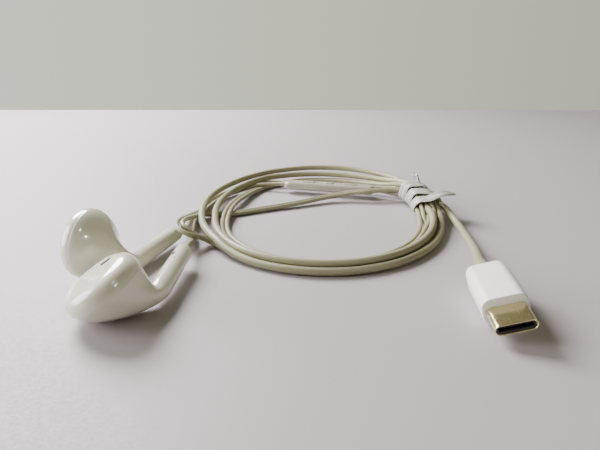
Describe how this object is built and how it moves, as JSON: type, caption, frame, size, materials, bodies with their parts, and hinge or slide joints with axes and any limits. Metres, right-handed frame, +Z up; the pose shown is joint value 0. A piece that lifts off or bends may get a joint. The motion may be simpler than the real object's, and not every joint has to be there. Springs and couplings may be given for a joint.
{
  "type": "wired earphones",
  "caption": "Wired earphones with teardrop heads and short stems, an inline remote and a small oval plug, their cable coiled and held by a twist tie.",
  "frame": {"origin": "on the table, midway between the two ears (centre of the ears' box, at its base)", "axes": "+Z up from the table, +Y away from the viewer along the stems, +X towards the coil and the plug"},
  "size_m": [0.1092, 0.1222, 0.0175],
  "materials": {
    "shell_white": "glossy",
    "boot_white": "satin",
    "cable_ivory": "satin",
    "tie_white": "satin",
    "gold_shell": "plated, satin",
    "contact_metal": "plated",
    "magnet_steel": "plain",
    "copper": "enamelled wire",
    "dark_plastic": "matt",
    "dark_mesh": "woven",
    "film": "clear film",
    "felt": "felt",
    "board_green": "lacquered"
  },
  "bodies": {
    "earphones": {"left_front_shell": "shell_white", "left_rear_shell": "shell_white", "left_front_mesh": "dark_mesh", "left_cap_vent_mesh": "dark_mesh", "left_stem_vent_mesh": "dark_mesh", "left_driver_frame": "dark_plastic", "left_magnet": "magnet_steel", "left_pole_plate": "magnet_steel", "left_yoke": "magnet_steel", "left_damping_disc": "felt", "left_terminal_board": "board_green", "left_strain_relief": "cable_ivory", "right_front_shell": "shell_white", "right_rear_shell": "shell_white", "right_front_mesh": "dark_mesh", "right_cap_vent_mesh": "dark_mesh", "right_stem_vent_mesh": "dark_mesh", "right_driver_frame": "dark_plastic", "right_magnet": "magnet_steel", "right_pole_plate": "magnet_steel", "right_yoke": "magnet_steel", "right_damping_disc": "felt", "right_terminal_board": "board_green", "right_strain_relief": "cable_ivory", "remote_top_shell": "shell_white", "remote_bottom_shell": "shell_white", "remote_board": "board_green", "dome_switches": "contact_metal", "microphone": "contact_metal", "remote_strain_reliefs": "cable_ivory", "splitter_body": "cable_ivory", "plug_shell": "gold_shell", "plug_insulator": "dark_plastic", "plug_contacts": "contact_metal", "plug_latch_springs": "contact_metal", "plug_boot": "boot_white", "plug_board": "board_green", "converter_chip": "dark_plastic", "plug_collar": "cable_ivory", "cable_coil": "cable_ivory", "plug_lead": "cable_ivory", "lead_pair": "cable_ivory", "left_ear_lead": "cable_ivory", "right_ear_lead": "cable_ivory", "remote_leads": "cable_ivory", "twist_tie": "tie_white"},
    "volume_up": {"volume_up_button": "shell_white"},
    "centre": {"centre_button": "shell_white"},
    "volume_down": {"volume_down_button": "shell_white"},
    "left_cone": {"left_diaphragm": "film", "left_voice_coil": "copper"},
    "right_cone": {"right_diaphragm": "film", "right_voice_coil": "copper"}
  },
  "joints": [
    {"name": "volume_up_press", "type": "slide", "parent": "earphones", "child": "volume_up", "axis": [0, 0, -1], "range_m": [0, 0.00025], "stiffness_N_per_m": 8000},
    {"name": "centre_press", "type": "slide", "parent": "earphones", "child": "centre", "axis": [0, 0, -1], "range_m": [0, 0.00025], "stiffness_N_per_m": 8000},
    {"name": "volume_down_press", "type": "slide", "parent": "earphones", "child": "volume_down", "axis": [0, 0, -1], "range_m": [0, 0.00025], "stiffness_N_per_m": 8000},
    {"name": "left_cone_travel", "type": "slide", "parent": "earphones", "child": "left_cone", "axis": [-0.9785, 0.1955, 0.0661], "range_m": [-0.00012, 0.00012], "stiffness_N_per_m": 300},
    {"name": "right_cone_travel", "type": "slide", "parent": "earphones", "child": "right_cone", "axis": [-0.5127, -0.1198, 0.8502], "range_m": [-0.00012, 0.00012], "stiffness_N_per_m": 300}
  ]
}
